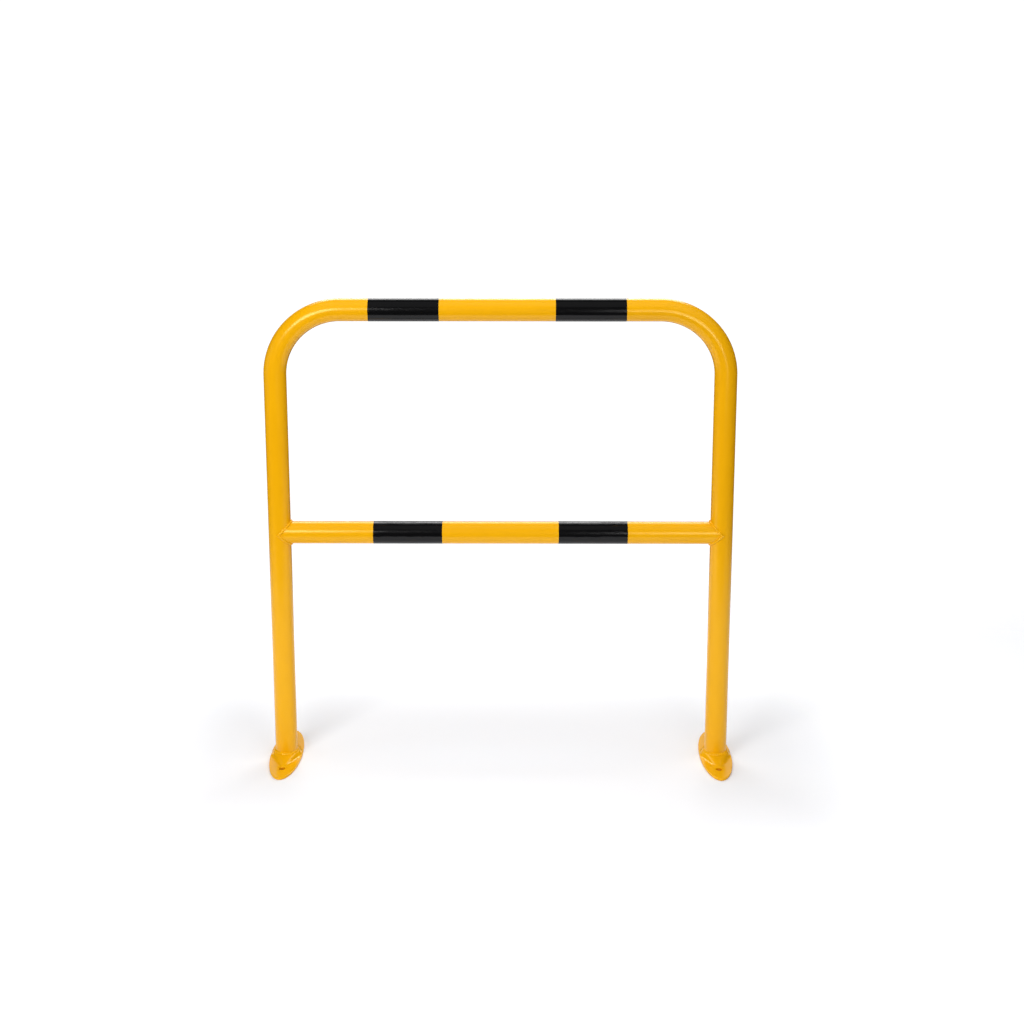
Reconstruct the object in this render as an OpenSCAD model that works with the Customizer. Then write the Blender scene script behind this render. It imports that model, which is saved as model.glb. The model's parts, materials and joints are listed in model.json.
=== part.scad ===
// Hoop barrier: one bent steel tube on two oval floor plates, stiffened by a cross rail
// of the same tube, with black film bands wrapped round both horizontal runs.
// Millimetres. +Z is up, X runs across the barrier and Y through it. The origin lies on
// the floor, midway between the two feet.

/* [Hoop] */
// Overall width, over the outsides of the two legs
hoop_w = 1000; // [700:10:2000]
// Overall height, from the floor to the top of the tube
hoop_h = 1030; // [800:10:1300]
// Outside diameter of the tube that the hoop and the cross rail are made of
tube_d = 48; // [38:1:60]
// Wall thickness of the tube
tube_wall = 2.5; // [1.5:0.1:4]
// Radius of the two corner bends, at the tube's centre line
bend_r = 140; // [100:5:180]

/* [Cross rail] */
// Height of the cross rail's centre line above the floor
rail_h = 519; // [350:1:620]
// Gap left all round between the rail's coped end and the leg, before welding
cope_gap = 0.3; // [0.1:0.1:0.6]

/* [Floor plates] */
// Length of each oval plate, through the barrier
plate_l = 240; // [180:5:280]
// How far each plate stands out beyond the tube, on either side of it
plate_side = 11; // [9:0.5:20]
// Thickness of the plate
plate_t = 5; // [4:0.5:8]
// How far the middle of the plate is pressed up under the leg
press_h = 9; // [5:0.5:14]
// Radius of the pressed ridge's nose, where it runs out towards each bolt hole
ridge_nose_r = 8; // [5:0.5:11]
// Diameter of the two bolt holes
hole_d = 14; // [10:0.5:18]
// Distance from each end of the plate to the centre of its bolt hole
hole_edge = 46; // [34:1:54]

/* [Welds] */
// Leg length of the fillet weld round the foot of each leg
foot_weld = 4; // [3:0.5:5]
// Radius of the bead laid along each coped joint of the cross rail
bead_r = 3; // [2.5:0.5:4]

/* [Film bands] */
// Length of every band along its tube
band_l = 148; // [80:1:180]
// Thickness of the film
film_t = 0.2; // [0.1:0.05:0.5]
// Thickness of the adhesive layer that holds the film off the tube
glue_t = 0.1; // [0.05:0.05:0.3]
// How far the film's end laps over its start, round the tube
lap_l = 12; // [6:1:20]
// Distance between the middles of the two bands on the top run
top_band_pitch = 392; // [250:1:400]
// How far the pair on the top run sits off centre
top_band_offset = -6; // [-20:0.5:20]
// Distance between the middles of the two bands on the cross rail
rail_band_pitch = 398; // [250:1:500]

/* [Hidden] */

$fn = 96;
// Sides of the circles that the pressing is blended between
press_fn = 48;
yellow = "#F5B517";
weld_yellow = "#EDAE1A";
film_black = "#161616";

// Radii and centre lines that everything else is set out from
tube_r = tube_d / 2;
bore_r = tube_r - tube_wall;
leg_x = hoop_w / 2 - tube_r;
top_z = hoop_h - tube_r;

// The leg stands on the pressed middle of the plate
leg_foot_z = plate_t + press_h;
bend_x = leg_x - bend_r;
bend_z = top_z - bend_r;

// Land round the foot weld, and the narrow rim left beside the pressing
weld_land = 1;
rim = 1.5;
// Clear width between the ridge's nose and the bolt hole
nose_gap = 1.5;
plate_w = tube_d + 2 * plate_side;
hole_y = plate_l / 2 - hole_edge;
press_top_r = tube_r + foot_weld + weld_land;
press_foot_r = plate_w / 2 - rim;
nose_y = hole_y - hole_d / 2 - nose_gap - ridge_nose_r;
// Width that the pressing loses on its underside, so that its wall stays about as thick as the plate
press_in = plate_t / 2;

// Outside radius of a film band, and where round the tube its lap begins
film_r = tube_r + glue_t + film_t;
lap_start = -25;

// Cuts run past the faces they open by this much
over = 1;

// The tube's ring-shaped section
module tube_section() {
    difference() {
        circle(r = tube_r);
        circle(r = bore_r);
    }
}

// A straight length of tube standing on the XY plane
module tube_length(length) {
    linear_extrude(height = length) tube_section();
}

// A quarter bend that carries on from the top of a leg at the origin and turns towards -X
module tube_bend() {
    translate([-bend_r, 0, 0])
        rotate([90, 0, 0])
            rotate_extrude(angle = 90)
                translate([bend_r, 0]) tube_section();
}

// One leg with its corner bend, on the +X side
module hoop_half() {
    translate([leg_x, 0, leg_foot_z]) tube_length(bend_z - leg_foot_z);
    translate([leg_x, 0, bend_z]) tube_bend();
}

module hoop_tube() {
    color(yellow) {
        hoop_half();
        mirror([1, 0, 0]) hoop_half();
        translate([-bend_x, 0, top_z]) rotate([0, 90, 0]) tube_length(2 * bend_x);
    }
}

// A straight run of tube between the legs, coped at both ends to sit round them
module cross_rail() {
    color(yellow)
        difference() {
            translate([-leg_x, 0, rail_h]) rotate([0, 90, 0]) tube_length(2 * leg_x);
            for (side = [-1, 1])
                translate([side * leg_x, 0, rail_h - tube_d])
                    cylinder(h = 2 * tube_d, r = tube_r + cope_gap);
        }
}

// Outline of the pressing where it leaves the flat of the plate: a disc under the leg,
// drawn out to a narrow nose in front of each bolt hole
module press_outline(inset) {
    hull() {
        circle(r = press_foot_r - inset, $fn = press_fn);
        for (end = [-1, 1])
            translate([0, end * nose_y]) circle(r = ridge_nose_r - inset, $fn = press_fn);
    }
}

// The pressed form: it rises from that outline at z = base to a round land under the leg
module pressing(base, inset) {
    hull() {
        linear_extrude(height = base) press_outline(inset);
        cylinder(h = base + press_h, r = press_top_r - inset, $fn = press_fn);
    }
}

// Oval plate, pressed up in the middle, with a bolt hole before and behind the leg
module foot_plate() {
    difference() {
        union() {
            scale([plate_w / plate_l, 1, 1]) cylinder(h = plate_t, r = plate_l / 2);
            pressing(plate_t, 0);
        }
        translate([0, 0, -over]) pressing(over, press_in);
        for (end = [-1, 1])
            translate([0, end * hole_y, -over]) cylinder(h = plate_t + 2 * over, d = hole_d);
    }
}

module left_foot_plate() {
    color(yellow) translate([-leg_x, 0, 0]) foot_plate();
}

module right_foot_plate() {
    color(yellow) translate([leg_x, 0, 0]) foot_plate();
}

// Fillet weld between the leg's outside and the plate's land, with a slightly crowned face
module foot_weld_ring() {
    crown = foot_weld * 0.4;
    face_r = sqrt(pow(foot_weld + crown, 2) + pow(crown, 2));
    rotate_extrude()
        translate([tube_r, 0])
            intersection() {
                square(foot_weld);
                translate([-crown, -crown]) circle(r = face_r);
            }
}

module left_foot_weld() {
    color(weld_yellow) translate([-leg_x, 0, leg_foot_z]) foot_weld_ring();
}

module right_foot_weld() {
    color(weld_yellow) translate([leg_x, 0, leg_foot_z]) foot_weld_ring();
}

// Ring of bead round the leg, leaned to 45 degrees: two equal tubes that cross at right
// angles meet along an ellipse in that plane
module leaned_ring() {
    rotate([0, -45, 0])
        scale([sqrt(2), 1, 1])
            rotate_extrude() translate([tube_r, 0]) circle(r = bead_r, $fn = 32);
}

// The bead's upper flank, from the middle of the joint up and over the rail, for a leg at
// the origin and a rail that leaves it towards +X
module bead_flank() {
    reach = 2 * tube_d;
    difference() {
        intersection() {
            leaned_ring();
            translate([-reach, -reach, 0]) cube([2 * reach, 2 * reach, reach]);
        }
        translate([0, 0, -reach / 2]) cylinder(h = reach, r = tube_r);
        rotate([0, 90, 0]) cylinder(h = reach, r = tube_r);
    }
}

// Two flanks that meet in a mitre at the height of the rail's centre line
module saddle_bead() {
    bead_flank();
    mirror([0, 0, 1]) bead_flank();
}

module left_rail_weld() {
    color(weld_yellow) translate([-leg_x, 0, rail_h]) saddle_bead();
}

module right_rail_weld() {
    color(weld_yellow) translate([leg_x, 0, rail_h]) mirror([1, 0, 0]) saddle_bead();
}

// One turn of film round a tube along X, centred on the origin. Its end laps over its
// start at the back, a little below the middle.
module film_band() {
    lap_angle = lap_l / film_r * 180 / PI;
    rotate([90, 0, 90]) {
        translate([0, 0, -band_l / 2])
            difference() {
                cylinder(h = band_l, r = film_r);
                translate([0, 0, -over]) cylinder(h = band_l + 2 * over, r = tube_r + glue_t);
            }
        rotate([0, 0, lap_start])
            rotate_extrude(angle = lap_angle)
                translate([film_r - film_t / 2, -band_l / 2]) square([film_t * 1.5, band_l]);
    }
}

module top_band(side) {
    color(film_black)
        translate([top_band_offset + side * top_band_pitch / 2, 0, top_z]) film_band();
}

module rail_band(side) {
    color(film_black) translate([side * rail_band_pitch / 2, 0, rail_h]) film_band();
}

hoop_tube();
cross_rail();
left_foot_plate();
right_foot_plate();
left_foot_weld();
right_foot_weld();
left_rail_weld();
right_rail_weld();
top_band(-1);  // top_band_left
top_band(1);  // top_band_right
rail_band(-1);  // rail_band_left
rail_band(1);  // rail_band_right
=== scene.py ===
"""Hoop barrier: a coated tube hoop on pressed foot plates, with weld beads and film bands.

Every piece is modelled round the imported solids, in metres, and lit as a plain studio shot.
"""

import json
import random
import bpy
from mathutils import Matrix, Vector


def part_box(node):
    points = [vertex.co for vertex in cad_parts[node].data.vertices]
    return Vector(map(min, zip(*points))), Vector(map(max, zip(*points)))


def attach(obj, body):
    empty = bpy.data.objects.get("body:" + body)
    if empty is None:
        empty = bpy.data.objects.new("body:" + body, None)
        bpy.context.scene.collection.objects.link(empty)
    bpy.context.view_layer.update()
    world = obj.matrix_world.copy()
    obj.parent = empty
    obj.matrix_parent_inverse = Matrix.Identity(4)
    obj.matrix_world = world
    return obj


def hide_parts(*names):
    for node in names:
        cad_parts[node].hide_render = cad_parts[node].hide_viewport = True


bl_info = {
    "name": "Hoop Barrier",
    "version": (1, 0, 0),
    "blender": (4, 5, 0),
    "location": "3D View > Sidebar > Hoop Barrier",
    "description": "Models a powder-coated hoop barrier with black film bands",
    "category": "Add Mesh",
}

from math import atan2, ceil, pi, radians, sqrt, tau

import bmesh
import bpy
from bpy.props import FloatProperty, FloatVectorProperty, IntProperty, PointerProperty
from mathutils import Vector

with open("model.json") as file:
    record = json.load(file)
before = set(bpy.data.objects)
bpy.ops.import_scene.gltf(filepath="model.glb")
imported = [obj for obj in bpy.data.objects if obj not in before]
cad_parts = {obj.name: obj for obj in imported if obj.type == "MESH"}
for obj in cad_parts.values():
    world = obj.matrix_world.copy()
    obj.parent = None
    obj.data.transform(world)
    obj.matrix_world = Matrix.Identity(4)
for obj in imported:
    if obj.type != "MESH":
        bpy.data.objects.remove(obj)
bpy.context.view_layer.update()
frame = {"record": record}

MM = 0.001
SIDES = {"left": -1, "right": 1}

# Points closer than this are merged
MERGE = 0.01 * MM
# Points closer than this to the plane of a cut lie on it
ON_CUT = 0.001 * MM
# Rings of mesh along each pool of a rippled weld bead
RINGS_PER_POOL = 4


def tenth_mm(value):
    """A length from the frame, rounded to a tenth of a millimetre."""
    return round(value, 4)


# Main lines of the barrier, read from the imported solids
HOOP_LOW, HOOP_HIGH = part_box("hoop_tube")
RAIL_LOW, RAIL_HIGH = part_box("cross_rail")
PLATE_LOW, PLATE_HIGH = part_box("left_foot_plate")
FOOT_WELD_LOW, FOOT_WELD_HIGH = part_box("left_foot_weld")
RAIL_WELD_LOW, RAIL_WELD_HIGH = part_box("left_rail_weld")
BOLTS = next(m for m in frame["record"]["mounts"] if m["name"] == "floor_bolts")

TUBE_D = tenth_mm(RAIL_HIGH.z - RAIL_LOW.z)
TUBE_R = TUBE_D / 2
LEG_X = tenth_mm(HOOP_HIGH.x) - TUBE_R
TOP_Z = tenth_mm(HOOP_HIGH.z) - TUBE_R
FOOT_Z = tenth_mm(HOOP_LOW.z)
RAIL_Z = tenth_mm((RAIL_LOW.z + RAIL_HIGH.z) / 2)
PLATE_W = tenth_mm(PLATE_HIGH.x - PLATE_LOW.x)
PLATE_L = tenth_mm(PLATE_HIGH.y - PLATE_LOW.y)
PLATE_T = tenth_mm(BOLTS["pos_m"][2])
HOLE_R = BOLTS["dims"]["hole_r_mm"] * MM
HOLE_Y = BOLTS["dims"]["spacing_y_mm"] * MM / 2
FOOT_WELD = tenth_mm(FOOT_WELD_HIGH.z - FOOT_WELD_LOW.z)
BEAD_R = tenth_mm((RAIL_WELD_HIGH.y - RAIL_WELD_LOW.y) / 2) - TUBE_R
FILM_R = tenth_mm(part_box("top_band_left")[1].z) - TOP_Z


def linear(hex_colour):
    """Turns an sRGB hex colour into the linear values that shaders and lights take."""
    channels = [int(hex_colour[i : i + 2], 16) / 255 for i in (1, 3, 5)]
    return tuple(c / 12.92 if c <= 0.04045 else ((c + 0.055) / 1.055) ** 2.4 for c in channels)


class TubeSettings(bpy.types.PropertyGroup):
    wall: FloatProperty(
        name="Wall", description="Wall thickness of the tube", default=2.5 * MM, min=MM, unit="LENGTH"
    )
    bend_radius: FloatProperty(
        name="Bend radius",
        description="Radius of the corner bends at the tube's centre line",
        default=140 * MM,
        min=2 * TUBE_R,
        unit="LENGTH",
    )
    cope_gap: FloatProperty(
        name="Cope gap",
        description="Gap between the rail's coped end and the leg",
        default=0.3 * MM,
        min=0.1 * MM,
        unit="LENGTH",
    )
    sides: IntProperty(name="Sides", description="Faces round the tube", default=96, min=24, max=160)
    bend_steps: IntProperty(
        name="Bend steps", description="Rings along each corner bend", default=40, min=12, max=96
    )


class PlateSettings(bpy.types.PropertyGroup):
    land: FloatProperty(
        name="Land",
        description="Flat left round the foot weld on top of the pressing",
        default=1 * MM,
        min=0.2 * MM,
        unit="LENGTH",
    )
    rim: FloatProperty(
        name="Rim",
        description="Flat left beside the pressing at the plate's waist",
        default=1.5 * MM,
        min=0.5 * MM,
        unit="LENGTH",
    )
    nose_radius: FloatProperty(
        name="Nose radius",
        description="Radius of the pressing where it runs out towards each bolt hole",
        default=8 * MM,
        min=4 * MM,
        unit="LENGTH",
    )
    nose_gap: FloatProperty(
        name="Nose gap",
        description="Clear width between the pressing's nose and the bolt hole",
        default=1.5 * MM,
        min=0.5 * MM,
        unit="LENGTH",
    )
    edge_bevel: FloatProperty(
        name="Edge bevel",
        description="Rounding of the plate's cut edge",
        default=0.7 * MM,
        min=0.2 * MM,
        unit="LENGTH",
    )
    grain: FloatProperty(
        name="Grain",
        description="Mesh spacing of the pressed plate",
        default=0.8 * MM,
        min=0.5 * MM,
        unit="LENGTH",
    )
    softening: IntProperty(
        name="Softening",
        description="Smoothing passes over the whole plate, for the thickness of the coat",
        default=4,
        min=0,
        max=40,
    )
    draw: IntProperty(
        name="Draw",
        description="Further smoothing passes over the pressing, where the steel is drawn into its form",
        default=60,
        min=0,
        max=80,
    )


class WeldSettings(bpy.types.PropertyGroup):
    ripple_pitch: FloatProperty(
        name="Ripple pitch",
        description="Distance between the ripples of a bead",
        default=5 * MM,
        min=1 * MM,
        unit="LENGTH",
    )
    ripple_depth: FloatProperty(
        name="Ripple depth",
        description="How deep the ripples are",
        default=0.6 * MM,
        min=0,
        unit="LENGTH",
    )
    bedding: FloatProperty(
        name="Bedding",
        description="How far a bead sinks into what it joins",
        default=0.4 * MM,
        min=0,
        unit="LENGTH",
    )


class FilmSettings(bpy.types.PropertyGroup):
    thickness: FloatProperty(
        name="Thickness",
        description="Thickness of the film",
        default=0.2 * MM,
        min=0.1 * MM,
        unit="LENGTH",
    )
    lap: FloatProperty(
        name="Lap",
        description="How far the film's end laps over its start",
        default=12 * MM,
        min=4 * MM,
        unit="LENGTH",
    )
    lap_start: FloatProperty(
        name="Lap start",
        description="Where the film starts, measured from level at the back of the tube",
        default=radians(-25),
        unit="ROTATION",
    )


class FinishSettings(bpy.types.PropertyGroup):
    coat: FloatVectorProperty(
        name="Coat",
        description="Colour of the powder coat",
        default=linear("#F3B10A"),
        size=3,
        min=0,
        max=1,
        subtype="COLOR",
    )
    coat_deep: FloatVectorProperty(
        name="Coat, deep",
        description="Colour of the coat where it lies thickest",
        default=linear("#F1AD08"),
        size=3,
        min=0,
        max=1,
        subtype="COLOR",
    )
    film: FloatVectorProperty(
        name="Film",
        description="Colour of the film bands",
        default=linear("#0C0C0D"),
        size=3,
        min=0,
        max=1,
        subtype="COLOR",
    )
    peel: FloatProperty(
        name="Orange peel",
        description="Width of the coat's orange-peel ripples",
        default=3 * MM,
        min=MM,
        unit="LENGTH",
    )


class StudioSettings(bpy.types.PropertyGroup):
    key_power: FloatProperty(
        name="Key", description="Power of the softbox at the front left", default=30, min=0, unit="POWER"
    )
    fill_power: FloatProperty(
        name="Fill",
        description="Power of the two lights at the front right",
        default=10,
        min=0,
        unit="POWER",
    )
    back_power: FloatProperty(
        name="Back", description="Power of the three lights behind", default=40, min=0, unit="POWER"
    )
    ceiling_power: FloatProperty(
        name="Ceiling", description="Power of the pale ceiling panel", default=7, min=0, unit="POWER"
    )
    bounce_power: FloatProperty(
        name="Bounce", description="Power of the bounce panels together", default=62, min=0, unit="POWER"
    )
    paper: FloatVectorProperty(
        name="Paper",
        description="Colour of the paper floor",
        default=linear("#F3F4F7"),
        size=3,
        min=0,
        max=1,
        subtype="COLOR",
    )
    # Painted shade: the brown colour painted on the paper where it lies in shade under the bolt holes
    painted_hole_shade: FloatVectorProperty(
        name="Hole_shade",
        description="Colour of the drilling dust down the anchor holes",
        default=linear("#C07A1C"),
        size=3,
        min=0,
        max=1,
        subtype="COLOR",
    )
    paper_glow: FloatProperty(
        name="Paper glow",
        description="Light that comes through the paper away from the feet",
        default=0.25,
        min=0,
    )
    camera_place: FloatVectorProperty(
        name="Camera",
        description="Where the camera stands",
        default=(39.2 * MM, -3274.5 * MM, 1578.4 * MM),
        size=3,
        subtype="TRANSLATION",
        unit="LENGTH",
    )
    camera_pitch: FloatProperty(
        name="Camera pitch",
        description="How far the camera looks down",
        default=radians(12.063),
        unit="ROTATION",
    )
    camera_yaw: FloatProperty(
        name="Camera yaw",
        description="How far the camera turns to the left",
        default=radians(0.253),
        unit="ROTATION",
    )
    focal_pixels: FloatProperty(
        name="Focal length",
        description="Focal length in pixels of the photograph",
        default=1587.9,
        min=200,
    )
    centre_row: FloatProperty(
        name="Centre row",
        description="Row of the photograph that the lens axis meets",
        default=369.4,
        min=0,
    )


class BarrierSettings(bpy.types.PropertyGroup):
    tube: PointerProperty(type=TubeSettings)
    plate: PointerProperty(type=PlateSettings)
    weld: PointerProperty(type=WeldSettings)
    film: PointerProperty(type=FilmSettings)
    finish: PointerProperty(type=FinishSettings)
    studio: PointerProperty(type=StudioSettings)


# Handling of objects and selections


def make_active(piece):
    """Makes one object the only selected one."""
    bpy.ops.object.select_all(action="DESELECT")
    piece.select_set(True)
    bpy.context.view_layer.objects.active = piece


def settle(piece):
    """Moves a piece's place, turn and scale into its mesh."""
    make_active(piece)
    bpy.ops.object.transform_apply(location=True, rotation=True, scale=True)


def take_primitive(name):
    """Names the primitive or copy that was just added, and settles it."""
    piece = bpy.context.active_object
    piece.name = name
    piece.data.name = name
    settle(piece)
    return piece


def start_edit(piece):
    """Opens a piece for editing with all of it selected."""
    make_active(piece)
    bpy.ops.object.mode_set(mode="EDIT")
    bpy.ops.mesh.select_mode(type="VERT")
    bpy.ops.mesh.select_all(action="SELECT")


def end_edit():
    """Closes the piece that is open for editing."""
    bpy.ops.object.mode_set(mode="OBJECT")


def pick(piece, wanted):
    """While a piece is open, selects only the points that pass the test."""
    mesh = bmesh.from_edit_mesh(piece.data)
    for part in (mesh.faces, mesh.edges, mesh.verts):
        for element in part:
            element.select = False
    for vert in mesh.verts:
        vert.select = wanted(vert.co)
    mesh.select_flush(True)
    bmesh.update_edit_mesh(piece.data)


def sweep(steps, angle, centre, axis):
    """While a piece is open, sweeps what is selected round an axis, right-handed."""
    # The spin operator itself turns left-handed
    bpy.ops.mesh.spin(
        steps=steps, angle=-angle, center=centre, axis=axis, use_auto_merge=abs(angle) >= tau
    )


def face_outwards():
    """While a piece is open, merges its doubles and turns every face outwards."""
    bpy.ops.mesh.select_all(action="SELECT")
    bpy.ops.mesh.remove_doubles(threshold=MERGE)
    bpy.ops.mesh.normals_make_consistent(inside=False)


def apply_modifier(piece, kind, **settings):
    """Adds one modifier with these settings and applies it."""
    make_active(piece)
    bpy.ops.object.modifier_add(type=kind)
    modifier = piece.modifiers[-1]
    for name, value in settings.items():
        setattr(modifier, name, value)
    bpy.ops.object.modifier_apply(modifier=modifier.name)


def combine(piece, tool, operation):
    """Joins a tool to a piece or cuts it away, and deletes the tool."""
    apply_modifier(piece, "BOOLEAN", operation=operation, solver="EXACT", object=tool)
    bpy.data.objects.remove(tool, do_unlink=True)


def own_copy(piece, name, shift):
    """A copy of a piece with its own mesh, moved by a shift."""
    make_active(piece)
    bpy.ops.object.duplicate(linked=False)
    bpy.ops.transform.translate(value=shift)
    return take_primitive(name)


def check_solid(piece):
    """Raises an error unless a piece is closed and its faces point outwards."""
    mesh = bmesh.new()
    mesh.from_mesh(piece.data)
    open_edges = sum(not edge.is_manifold for edge in mesh.edges)
    volume = mesh.calc_volume(signed=True)
    mesh.free()
    if open_edges or volume <= 0:
        raise RuntimeError(f"{piece.name} has {open_edges} open edges and a volume of {volume}")


def finish_piece(piece, node, material, crease=40):
    """Smooths a piece, gives it its material and puts it in the place of its solid."""
    check_solid(piece)
    make_active(piece)
    bpy.ops.object.shade_smooth_by_angle(angle=radians(crease))
    piece.data.materials.clear()
    piece.data.materials.append(material)
    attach(piece, "root")
    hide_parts(node)


# Materials


def new_material(name):
    """An empty node material, with the shader that it ends in."""
    material = bpy.data.materials.new(name)
    material.use_nodes = True
    tree = material.node_tree
    tree.nodes.clear()
    output = tree.nodes.new("ShaderNodeOutputMaterial")
    shader = tree.nodes.new("ShaderNodeBsdfPrincipled")
    tree.links.new(shader.outputs["BSDF"], output.inputs["Surface"])
    return material, tree, shader


def add_node(tree, kind, sockets=None, **settings):
    """Adds a node with its settings, and sets each named socket to a value or links it."""
    node = tree.nodes.new(kind)
    for name, value in settings.items():
        setattr(node, name, value)
    for name, value in (sockets or {}).items():
        if isinstance(value, bpy.types.NodeSocket):
            tree.links.new(value, node.inputs[name])
        else:
            node.inputs[name].default_value = value
    return node


def powder_coat(finish):
    """Polyester powder, sprayed on steel and stoved: semi-gloss, with a fine orange peel."""
    name = "Polyester powder coat on steel, stoved"
    if name in bpy.data.materials:
        return bpy.data.materials[name]
    material, tree, shader = new_material(name)
    place = add_node(tree, "ShaderNodeTexCoord").outputs["Object"]
    # The coat builds up unevenly over spans of about 70 mm
    build_up = add_node(
        tree, "ShaderNodeTexNoise", {"Vector": place, "Scale": 1 / (70 * MM), "Detail": 2.0}
    ).outputs["Fac"]
    tone = add_node(
        tree,
        "ShaderNodeMix",
        {"Factor": build_up, "A": (*finish.coat, 1), "B": (*finish.coat_deep, 1)},
        data_type="RGBA",
    )
    tree.links.new(tone.outputs["Result"], shader.inputs["Base Color"])
    gloss = add_node(
        tree, "ShaderNodeMapRange", {"Value": build_up, "To Min": 0.2, "To Max": 0.23}
    )
    tree.links.new(gloss.outputs["Result"], shader.inputs["Roughness"])
    # Real orange peel is 1 to 2 mm wide, and is drawn twice as wide so that it shows
    peel = add_node(
        tree, "ShaderNodeTexNoise", {"Vector": place, "Scale": 1 / finish.peel, "Detail": 1.0}
    ).outputs["Fac"]
    bump = add_node(tree, "ShaderNodeBump", {"Height": peel, "Strength": 0.12, "Distance": 0.02 * MM})
    tree.links.new(bump.outputs["Normal"], shader.inputs["Normal"])
    shader.inputs["IOR"].default_value = 1.5
    # Highlights keep a yellow cast, matched to the photograph
    shader.inputs["Specular Tint"].default_value = (1.0, 0.95, 0.45, 1)
    return material


def wrapped_film(finish, name, crease_depth):
    """Calendered vinyl film wrapped by hand: near black and glossy, with long shallow creases."""
    if name in bpy.data.materials:
        return bpy.data.materials[name]
    material, tree, shader = new_material(name)
    place = add_node(tree, "ShaderNodeTexCoord").outputs["Object"]
    # Creases run along the tube: 28 mm long and 5 mm wide
    stretched = add_node(
        tree,
        "ShaderNodeMapping",
        {"Vector": place, "Scale": (1 / (28 * MM), 1 / (5 * MM), 1 / (5 * MM))},
    ).outputs["Vector"]
    crease = add_node(
        tree, "ShaderNodeTexNoise", {"Vector": stretched, "Scale": 1.0, "Detail": 2.0}
    ).outputs["Fac"]
    creased = add_node(
        tree, "ShaderNodeBump", {"Height": crease, "Strength": 1.0, "Distance": crease_depth}
    )
    # Fine texture of the rolled face, drawn coarser than it is, 1 mm wide, so that it shows
    grain = add_node(tree, "ShaderNodeTexNoise", {"Vector": place, "Scale": 1 / (1 * MM)}).outputs["Fac"]
    grained = add_node(
        tree,
        "ShaderNodeBump",
        {"Height": grain, "Strength": 0.3, "Distance": 0.01 * MM, "Normal": creased.outputs["Normal"]},
    )
    tree.links.new(grained.outputs["Normal"], shader.inputs["Normal"])
    gloss = add_node(
        tree, "ShaderNodeMapRange", {"Value": crease, "To Min": 0.12, "To Max": 0.2}
    )
    tree.links.new(gloss.outputs["Result"], shader.inputs["Roughness"])
    shader.inputs["Base Color"].default_value = (*finish.film, 1)
    shader.inputs["IOR"].default_value = 1.52
    shader.inputs["Specular IOR Level"].default_value = 0.25
    return material


def paper_floor(studio):
    """White background paper, matt, with painted brown shade under the four bolt holes, and lit from
    below.
    """
    material, tree, shader = new_material("Background paper, matt white")
    place = add_node(tree, "ShaderNodeTexCoord").outputs["Object"]
    # How far out a point lies, the same to the left and right and to the front and back
    outward = add_node(tree, "ShaderNodeVectorMath", {0: place}, operation="ABSOLUTE").outputs["Vector"]
    # Painted brown shade on the paper under the plates' bolt holes, in discs just wider than the holes
    shade_disc_r = HOLE_R + 1 * MM
    hole_distance = add_node(
        tree, "ShaderNodeVectorMath", {0: outward, 1: (LEG_X, HOLE_Y, 0)}, operation="DISTANCE"
    ).outputs["Value"]
    in_shade_disc = add_node(
        tree, "ShaderNodeMath", {0: hole_distance, 1: shade_disc_r}, operation="LESS_THAN"
    ).outputs["Value"]
    # The paper's own colour, with the painted brown shade in the discs under the bolt holes
    colour = add_node(
        tree,
        "ShaderNodeMix",
        {"Factor": in_shade_disc, "A": (*studio.paper, 1), "B": (*studio.painted_hole_shade, 1)},
        data_type="RGBA",
    ).outputs["Result"]
    tree.links.new(colour, shader.inputs["Base Color"])
    # Light comes through the paper away from the feet, and its far end and sides thin out, so
    # that it meets the white backdrop without an edge. Each fade has a distance, and where
    # along it the fade starts and ends.
    spread = add_node(tree, "ShaderNodeSeparateXYZ", {"Vector": outward})
    depth = add_node(tree, "ShaderNodeSeparateXYZ", {"Vector": place}).outputs["Y"]
    fades = {
        "beside the feet": (spread.outputs["X"], LEG_X + 120 * MM, LEG_X + 450 * MM),
        "before and behind the feet": (spread.outputs["Y"], 150 * MM, 600 * MM),
        "far end": (depth, 600 * MM, 1300 * MM),
        "far sides": (spread.outputs["X"], 1300 * MM, 2200 * MM),
    }
    faded = {}
    for name, (distance, start, end) in fades.items():
        faded[name] = add_node(
            tree,
            "ShaderNodeMapRange",
            {"Value": distance, "From Min": start, "From Max": end, "To Min": 1.0, "To Max": 0.0},
            interpolation_type="SMOOTHSTEP",
        ).outputs["Result"]
    near_feet = add_node(
        tree,
        "ShaderNodeMath",
        {0: faded["beside the feet"], 1: faded["before and behind the feet"]},
        operation="MULTIPLY",
    ).outputs["Value"]
    glow = add_node(
        tree, "ShaderNodeMapRange", {"Value": near_feet, "To Min": studio.paper_glow, "To Max": 0.0}
    ).outputs["Result"]
    tree.links.new(glow, shader.inputs["Emission Strength"])
    cover = add_node(
        tree, "ShaderNodeMath", {0: faded["far end"], 1: faded["far sides"]}, operation="MULTIPLY"
    ).outputs["Value"]
    tree.links.new(cover, shader.inputs["Alpha"])
    shader.inputs["Emission Color"].default_value = (1, 1, 1, 1)
    shader.inputs["Roughness"].default_value = 0.9
    shader.inputs["Specular IOR Level"].default_value = 0.0
    return material


# Pieces


def run_on(shift):
    """While a tube is open, extends its selected end ring along a straight line."""
    bpy.ops.mesh.extrude_region_move(TRANSFORM_OT_translate={"value": shift})


def give_wall(tube_skin, wall):
    """Thickens the skin of a tube inwards to its wall."""
    apply_modifier(tube_skin, "SOLIDIFY", thickness=wall, offset=-1.0, use_even_offset=True)


def copy_to_legs(piece, node, made, coat, crease):
    """Puts a copy of a piece made at the origin at each leg's foot, and deletes the original."""
    for name, side in SIDES.items():
        placed = own_copy(piece, f"{name}_{node}_{made}", (side * LEG_X, 0, 0))
        finish_piece(placed, f"{name}_{node}", coat, crease)
    bpy.data.objects.remove(piece, do_unlink=True)


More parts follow.
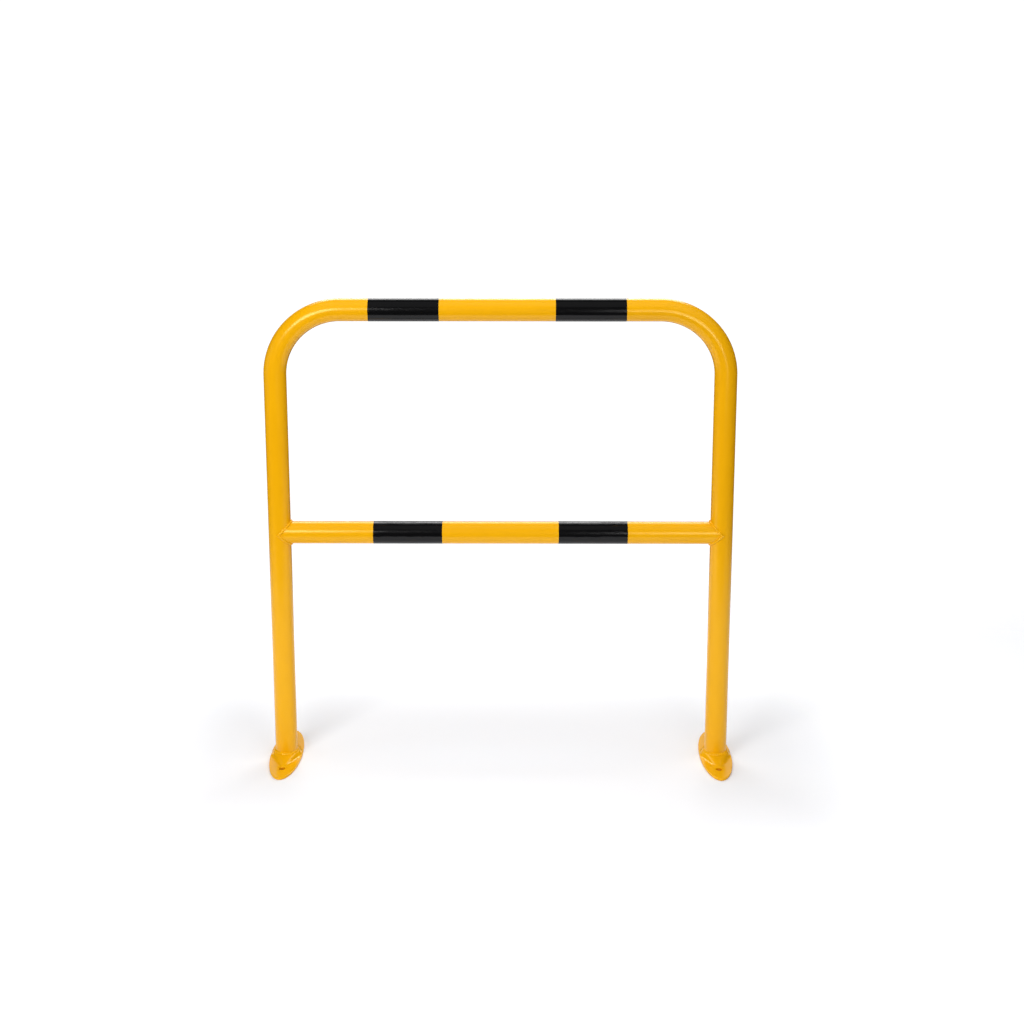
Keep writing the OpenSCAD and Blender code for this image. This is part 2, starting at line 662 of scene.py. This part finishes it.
class BARRIER_OT_hoop(bpy.types.Operator):
    """Bends one length of tube into the hoop: up, over two corner bends and down"""

    bl_idname = "barrier.hoop"
    bl_label = "Hoop Tube"
    bl_options = {"REGISTER", "UNDO"}

    def execute(self, context):
        settings = context.scene.hoop_barrier
        tube = settings.tube
        bend_x = LEG_X - tube.bend_radius
        bend_z = TOP_Z - tube.bend_radius
        bpy.ops.mesh.primitive_circle_add(
            vertices=tube.sides, radius=TUBE_R, location=(-LEG_X, 0, FOOT_Z)
        )
        hoop = take_primitive("hoop_tube_coated")
        start_edit(hoop)
        run_on((0, 0, bend_z - FOOT_Z))
        sweep(tube.bend_steps, pi / 2, (-bend_x, 0, bend_z), (0, 1, 0))
        run_on((2 * bend_x, 0, 0))
        sweep(tube.bend_steps, pi / 2, (bend_x, 0, bend_z), (0, 1, 0))
        run_on((0, 0, FOOT_Z - bend_z))
        face_outwards()
        end_edit()
        give_wall(hoop, tube.wall)
        finish_piece(hoop, "hoop_tube", powder_coat(settings.finish))
        return {"FINISHED"}


def leg_cutter(x, radius, sides):
    """A cylinder on one leg's axis, as long as the rail is thick and half as long again."""
    bpy.ops.mesh.primitive_cylinder_add(
        vertices=sides, radius=radius, depth=3 * TUBE_R, location=(x, 0, RAIL_Z)
    )
    return take_primitive("leg_cutter")


class BARRIER_OT_rail(bpy.types.Operator):
    """Cuts the cross rail to length and copes both ends to sit round the legs"""

    bl_idname = "barrier.rail"
    bl_label = "Cross Rail"
    bl_options = {"REGISTER", "UNDO"}

    def execute(self, context):
        settings = context.scene.hoop_barrier
        tube = settings.tube
        bpy.ops.mesh.primitive_circle_add(
            vertices=tube.sides, radius=TUBE_R, location=(-LEG_X, 0, RAIL_Z), rotation=(0, pi / 2, 0)
        )
        rail = take_primitive("cross_rail_coated")
        start_edit(rail)
        run_on((2 * LEG_X, 0, 0))
        face_outwards()
        end_edit()
        give_wall(rail, tube.wall)
        for side in SIDES.values():
            cutter = leg_cutter(side * LEG_X, TUBE_R + tube.cope_gap, tube.sides)
            combine(rail, cutter, "DIFFERENCE")
        finish_piece(rail, "cross_rail", powder_coat(settings.finish))
        return {"FINISHED"}


def press_tool(name, low_z, foot_z, land_z, shrink, plate):
    """The form that the plate is pressed over: a disc drawn out to a nose at either end at
    its foot, with a smaller round land on top."""
    foot_r = PLATE_W / 2 - plate.rim - shrink
    nose_r = plate.nose_radius - shrink
    nose_y = HOLE_Y - HOLE_R - plate.nose_gap - plate.nose_radius
    land_r = TUBE_R + FOOT_WELD + plate.land - shrink
    outline = [(0, foot_r), (-nose_y, nose_r), (nose_y, nose_r)]
    sides = 96
    bpy.ops.mesh.primitive_circle_add(vertices=sides, radius=land_r, location=(0, 0, land_z))
    tool = take_primitive(name)
    start_edit(tool)
    for y, radius in outline:
        for z in (low_z, foot_z):
            bpy.ops.mesh.primitive_circle_add(vertices=sides, radius=radius, location=(0, y, z))
    bpy.ops.mesh.select_all(action="SELECT")
    bpy.ops.mesh.convex_hull()
    face_outwards()
    end_edit()
    return tool


class BARRIER_OT_foot_plates(bpy.types.Operator):
    """Presses one oval foot plate over its form, drills it and copies it to both feet"""

    bl_idname = "barrier.foot_plates"
    bl_label = "Foot Plates"
    bl_options = {"REGISTER", "UNDO"}

    def execute(self, context):
        settings = context.scene.hoop_barrier
        plate = settings.plate
        rise = FOOT_Z - PLATE_T
        inside = PLATE_T / 2
        bpy.ops.mesh.primitive_cylinder_add(
            vertices=192, radius=PLATE_L / 2, depth=PLATE_T, location=(0, 0, PLATE_T / 2)
        )
        bpy.context.active_object.scale = (PLATE_W / PLATE_L, 1, 1)
        blank = take_primitive("foot_plate_blank")
        apply_modifier(blank, "BEVEL", width=plate.edge_bevel, segments=2, angle_limit=radians(60))
        top_form = press_tool("top_form", PLATE_T / 2, PLATE_T, FOOT_Z, 0, plate)
        combine(blank, top_form, "UNION")
        under_form = press_tool("under_form", -inside, 0, rise, inside, plate)
        combine(blank, under_form, "DIFFERENCE")
        for end in (-1, 1):
            bpy.ops.mesh.primitive_cylinder_add(
                vertices=64, radius=HOLE_R, depth=4 * PLATE_T, location=(0, end * HOLE_Y, 0)
            )
            combine(blank, take_primitive("drill"), "DIFFERENCE")
        apply_modifier(blank, "REMESH", mode="VOXEL", voxel_size=plate.grain)
        apply_modifier(blank, "SMOOTH", factor=0.5, iterations=plate.softening)
        start_edit(blank)
        pick(blank, self.in_pressing)
        bpy.ops.mesh.vertices_smooth(factor=0.5, repeat=plate.draw)
        end_edit()
        copy_to_legs(blank, "foot_plate", "pressed", powder_coat(settings.finish), crease=60)
        return {"FINISHED"}

    def in_pressing(self, co):
        """Whether a point lies on the plate's top, clear of its edge, bolt holes and weld."""
        side_margin, end_margin, hole_margin = 1 * MM, 2 * MM, 0.8 * MM
        across = co.x / (PLATE_W / 2 - side_margin)
        along = co.y / (PLATE_L / 2 - end_margin)
        in_oval = across**2 + along**2 < 1
        clear_of_hole = Vector((co.x, abs(co.y) - HOLE_Y)).length > HOLE_R + hole_margin
        clear_of_weld = co.xy.length > TUBE_R + FOOT_WELD
        return co.z > PLATE_T / 2 and in_oval and clear_of_hole and clear_of_weld


def ripple(bead, rings, depth, seed):
    """While a bead round the Z axis is open, sinks the first ring of each pool, so that it looks
    laid in overlapping pools."""
    draws = random.Random(seed)
    shallowest, deepest = 0.7, 1.3

    def ring_of(co):
        """The ring that a point lies on, counted round from +X."""
        return round(atan2(co.y, co.x) % tau / tau * rings) % rings

    for first in range(0, rings, RINGS_PER_POOL):
        sink = depth * draws.uniform(shallowest, deepest)
        pick(bead, lambda co: ring_of(co) == first)
        bpy.ops.transform.shrink_fatten(value=-sink)


class BARRIER_OT_foot_welds(bpy.types.Operator):
    """Lays the fillet weld round the foot of each leg"""

    bl_idname = "barrier.foot_welds"
    bl_label = "Foot Welds"
    bl_options = {"REGISTER", "UNDO"}

    def execute(self, context):
        settings = context.scene.hoop_barrier
        weld = settings.weld
        pools = round(tau * (TUBE_R + FOOT_WELD / 2) / weld.ripple_pitch)
        rings = pools * RINGS_PER_POOL
        # The fillet's face is an arc, and its centre lies this far back from the corner
        crown = FOOT_WELD * 0.4
        face_r = sqrt((FOOT_WELD + crown) ** 2 + crown**2)
        bpy.ops.mesh.primitive_circle_add(
            vertices=48,
            radius=face_r,
            fill_type="NGON",
            location=(TUBE_R - crown, 0, FOOT_Z - crown),
            rotation=(pi / 2, 0, 0),
        )
        ring = take_primitive("foot_weld_ring")
        start_edit(ring)
        corner = (TUBE_R - weld.bedding, 0, FOOT_Z - weld.bedding)
        for normal in ((1, 0, 0), (0, 0, 1)):
            bpy.ops.mesh.select_all(action="SELECT")
            bpy.ops.mesh.bisect(plane_co=corner, plane_no=normal, clear_inner=True, threshold=ON_CUT)
        bpy.ops.mesh.select_all(action="SELECT")
        bpy.ops.mesh.delete(type="ONLY_FACE")
        bpy.ops.mesh.select_all(action="SELECT")
        sweep(rings, tau, (0, 0, FOOT_Z), (0, 0, 1))
        face_outwards()
        ripple(ring, rings, weld.ripple_depth, seed=11)
        end_edit()
        copy_to_legs(ring, "foot_weld", "bead", powder_coat(settings.finish), crease=50)
        return {"FINISHED"}


class BARRIER_OT_rail_welds(bpy.types.Operator):
    """Lays the bead round each coped joint, along the curve where the two tubes meet"""

    bl_idname = "barrier.rail_welds"
    bl_label = "Rail Welds"
    bl_options = {"REGISTER", "UNDO"}

    def execute(self, context):
        settings = context.scene.hoop_barrier
        weld = settings.weld
        # Two equal tubes that cross squarely meet along half ellipses, leaned to 45 degrees
        stretch = sqrt(2)
        # Near enough the way round such an ellipse
        around = pi * TUBE_R * (1 + stretch)
        rings = ceil(around / weld.ripple_pitch) * RINGS_PER_POOL
        bpy.ops.mesh.primitive_torus_add(
            major_segments=rings, minor_segments=20, major_radius=TUBE_R, minor_radius=BEAD_R
        )
        flank = take_primitive("saddle_bead")
        start_edit(flank)
        ripple(flank, rings, weld.ripple_depth, seed=23)
        end_edit()
        flank.scale = (stretch, 1, 1)
        flank.rotation_euler = (0, -pi / 4, 0)
        settle(flank)
        # The upper flank is cut off at the middle of the joint and mirrored below it
        start_edit(flank)
        bpy.ops.mesh.bisect(
            plane_co=(0, 0, 0), plane_no=(0, 0, 1), clear_inner=True, threshold=ON_CUT
        )
        end_edit()
        apply_modifier(flank, "MIRROR", use_axis=(False, False, True), merge_threshold=0.02 * MM)
        start_edit(flank)
        face_outwards()
        end_edit()
        # The bead lies on both tubes, so the leg's and the rail's room is cut out of it
        cut_r = TUBE_R - weld.bedding
        for turn in ((0, 0, 0), (0, pi / 2, 0)):
            bpy.ops.mesh.primitive_cylinder_add(
                vertices=settings.tube.sides, radius=cut_r, depth=4 * TUBE_D, rotation=turn
            )
            combine(flank, take_primitive("bore"), "DIFFERENCE")
        coat = powder_coat(settings.finish)
        for name, side in SIDES.items():
            bead = own_copy(flank, f"{name}_rail_weld_bead", (0, 0, 0))
            if side > 0:
                bead.scale = (-1, 1, 1)
            bead.location = (side * LEG_X, 0, RAIL_Z)
            settle(bead)
            start_edit(bead)
            face_outwards()
            end_edit()
            finish_piece(bead, f"{name}_rail_weld", coat, crease=50)
        bpy.data.objects.remove(flank, do_unlink=True)
        return {"FINISHED"}


def wrap_band(name, node, film):
    """Wraps one strip of film round a tube along X, with its end lapped over its start."""
    low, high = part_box(node)
    length = high.x - low.x
    axis_z = TOP_Z if (low.z + high.z) / 2 > (TOP_Z + RAIL_Z) / 2 else RAIL_Z
    axis = ((low.x + high.x) / 2, 0, axis_z)
    mid_r = FILM_R - film.thickness / 2
    columns = 30
    steps_round = 120
    step = tau / steps_round
    lap_steps = round(film.lap / mid_r / step)
    # The lapped end lies on the start, a fiftieth of the film's thickness clear of it
    lap_rise = 1.02 * film.thickness
    bpy.ops.mesh.primitive_grid_add(
        x_subdivisions=columns, y_subdivisions=1, size=length, location=axis
    )
    band = take_primitive(name)
    start_edit(band)
    # The strip is swept from the grid's back row alone, level with the tube's middle
    pick(band, lambda co: co.y < 0)
    bpy.ops.mesh.delete(type="VERT")
    bpy.ops.mesh.select_all(action="SELECT")
    bpy.ops.transform.translate(value=(0, mid_r - length / 2, 0))
    # It starts below level at the back, so the level row is left out, and goes round over the top
    sweep(1, film.lap_start, axis, (1, 0, 0))
    pick(band, lambda co: abs(co.z - axis_z) < MERGE)
    bpy.ops.mesh.delete(type="VERT")
    bpy.ops.mesh.select_all(action="SELECT")
    sweep(steps_round - 1, tau - step, axis, (1, 0, 0))
    for lapped in range(lap_steps + 1):
        sweep(1, step, axis, (1, 0, 0))
        if lapped == 0:
            lift = (mid_r + lap_rise) / mid_r
            bpy.ops.transform.resize(value=(1, lift, lift), center_override=axis)
    bpy.ops.mesh.select_all(action="SELECT")
    bpy.ops.mesh.normals_make_consistent(inside=False)
    end_edit()
    apply_modifier(band, "SOLIDIFY", thickness=film.thickness, offset=0.0, use_even_offset=True)
    return band


class BARRIER_OT_film_bands(bpy.types.Operator):
    """Wraps the four black film bands round the top run and the cross rail"""

    bl_idname = "barrier.film_bands"
    bl_label = "Film Bands"
    bl_options = {"REGISTER", "UNDO"}

    def execute(self, context):
        settings = context.scene.hoop_barrier
        finish = settings.finish
        smooth = wrapped_film(finish, "Vinyl film, wrapped smooth", crease_depth=0.05 * MM)
        creased = wrapped_film(finish, "Vinyl film, wrapped with creases", crease_depth=0.3 * MM)
        for row, material in (("top", smooth), ("rail", creased)):
            for side in SIDES:
                node = f"{row}_band_{side}"
                band = wrap_band(f"{node}_film", node, settings.film)
                finish_piece(band, node, material)
        return {"FINISHED"}


# Studio


def softbox(name, size, place, target, power, mirrored):
    """A soft rectangular light that faces a target and isn't seen itself."""
    bpy.ops.object.light_add(type="AREA", location=place)
    light = bpy.context.active_object
    light.name = name
    light.data.shape = "RECTANGLE"
    light.data.size, light.data.size_y = size
    light.data.energy = power
    light.rotation_euler = (Vector(target) - Vector(place)).to_track_quat("-Z", "Y").to_euler()
    light.visible_camera = False
    light.visible_glossy = mirrored


def studio_world():
    """Dark room, which the camera sees as plain white."""
    world = bpy.data.worlds.new("Studio")
    bpy.context.scene.world = world
    world.use_nodes = True
    tree = world.node_tree
    tree.nodes.clear()
    room = add_node(tree, "ShaderNodeBackground", {"Strength": 0.02}).outputs["Background"]
    backdrop = add_node(
        tree, "ShaderNodeBackground", {"Color": (1, 1, 1, 1), "Strength": 1.1}
    ).outputs["Background"]
    seen = add_node(tree, "ShaderNodeLightPath").outputs["Is Camera Ray"]
    mixed = add_node(tree, "ShaderNodeMixShader", {0: seen, 1: room, 2: backdrop}).outputs["Shader"]
    add_node(tree, "ShaderNodeOutputWorld", {"Surface": mixed})


# Name, power setting and share of it, size, place, and whether the barrier mirrors the light.
# The bounce panels only lift the shadows and the colours, and leave no highlight.
LIGHTS = (
    ("Key softbox", "key_power", 1.0, (1.1, 0.7), (-1.1, -2.0, 1.58), True),
    ("Fill softbox", "fill_power", 0.48, (0.9, 0.4), (0.85, -2.1, 1.2), True),
    ("Fill strip", "fill_power", 0.52, (0.6, 0.25), (0.75, -2.1, 0.75), True),
    ("Back softbox", "back_power", 0.6, (2.0, 0.6), (0, 1.9, 2.0), True),
    ("Back strip", "back_power", 0.25, (2.4, 0.5), (0, 1.15, 2.2), True),
    ("Backdrop strip", "back_power", 0.15, (3.2, 0.6), (0, 2.5, 1.2), True),
    ("Ceiling panel", "ceiling_power", 1.0, (3.5, 2.4), (0, -0.9, 3.0), True),
    ("Bounce above", "bounce_power", 0.45, (2.8, 2.0), (0, -0.4, 3.0), False),
    ("Bounce front right", "bounce_power", 0.16, (1.6, 1.2), (1.6, -2.2, 2.8), False),
    ("Bounce right", "bounce_power", 0.2, (1.6, 1.2), (2.2, -0.3, 2.8), False),
    ("Bounce left", "bounce_power", 0.19, (1.6, 1.2), (-2.6, -0.3, 0.9), False),
)


class BARRIER_OT_studio(bpy.types.Operator):
    """Sets up the paper floor, the soft lights and the camera"""

    bl_idname = "barrier.studio"
    bl_label = "Studio"
    bl_options = {"REGISTER", "UNDO"}

    def execute(self, context):
        studio = context.scene.hoop_barrier.studio
        self.lay_floor(studio)
        studio_world()
        # Every light faces a point between the cross rail and the top run
        target = (0, 0, TOP_Z * 0.7)
        for name, power, share, size, place, mirrored in LIGHTS:
            softbox(name, size, place, target, share * getattr(studio, power), mirrored)
        self.place_camera(studio)
        context.scene.view_settings.view_transform = "Standard"
        return {"FINISHED"}

    def lay_floor(self, studio):
        """Lays a sheet of paper from 1 m in front of the barrier to 1.4 m behind it."""
        front, back, half_width = 1.0, 1.4, 3.0
        # The paper lies just under the plates, so that their undersides don't share its plane
        drop = 0.2 * MM
        bpy.ops.mesh.primitive_plane_add(size=2)
        bpy.context.active_object.scale = (half_width, (front + back) / 2, 1)
        bpy.context.active_object.location = (0, (back - front) / 2, -drop)
        floor = take_primitive("paper_floor")
        floor.data.materials.append(paper_floor(studio))

    def place_camera(self, studio):
        """Stands the camera where the photograph was taken from."""
        photo_side = 1024
        bpy.ops.object.camera_add(location=studio.camera_place)
        camera = bpy.context.active_object
        camera.rotation_euler = (pi / 2 - studio.camera_pitch, 0, studio.camera_yaw)
        camera.data.sensor_width = 36
        camera.data.lens = studio.focal_pixels / photo_side * camera.data.sensor_width
        camera.data.shift_y = (studio.centre_row - photo_side / 2) / photo_side
        camera.data.dof.use_dof = False
        bpy.context.scene.camera = camera


class BARRIER_PT_panel(bpy.types.Panel):
    """Lists the steps that build the barrier, with its sizes and colours"""

    bl_idname = "BARRIER_PT_panel"
    bl_label = "Hoop Barrier"
    bl_space_type = "VIEW_3D"
    bl_region_type = "UI"
    bl_category = "Hoop Barrier"

    def draw(self, context):
        layout = self.layout
        settings = context.scene.hoop_barrier
        for group in ("tube", "plate", "weld", "film", "finish", "studio"):
            box = layout.box()
            box.label(text=group.capitalize())
            values = getattr(settings, group)
            for name in values.__annotations__:
                box.prop(values, name)
        for step in STEPS:
            layout.operator(step.bl_idname)


STEPS = (
    BARRIER_OT_hoop,
    BARRIER_OT_rail,
    BARRIER_OT_foot_plates,
    BARRIER_OT_foot_welds,
    BARRIER_OT_rail_welds,
    BARRIER_OT_film_bands,
    BARRIER_OT_studio,
)
GROUPS = (
    TubeSettings,
    PlateSettings,
    WeldSettings,
    FilmSettings,
    FinishSettings,
    StudioSettings,
    BarrierSettings,
)
CLASSES = (*GROUPS, *STEPS, BARRIER_PT_panel)


def register():
    for cls in CLASSES:
        bpy.utils.register_class(cls)
    bpy.types.Scene.hoop_barrier = PointerProperty(type=BarrierSettings)


def unregister():
    del bpy.types.Scene.hoop_barrier
    for cls in reversed(CLASSES):
        bpy.utils.unregister_class(cls)


def main():
    register()
    bpy.ops.barrier.hoop()
    bpy.ops.barrier.rail()
    bpy.ops.barrier.foot_plates()
    bpy.ops.barrier.foot_welds()
    bpy.ops.barrier.rail_welds()
    bpy.ops.barrier.film_bands()
    bpy.ops.barrier.studio()


if __name__ == "__main__":
    main()
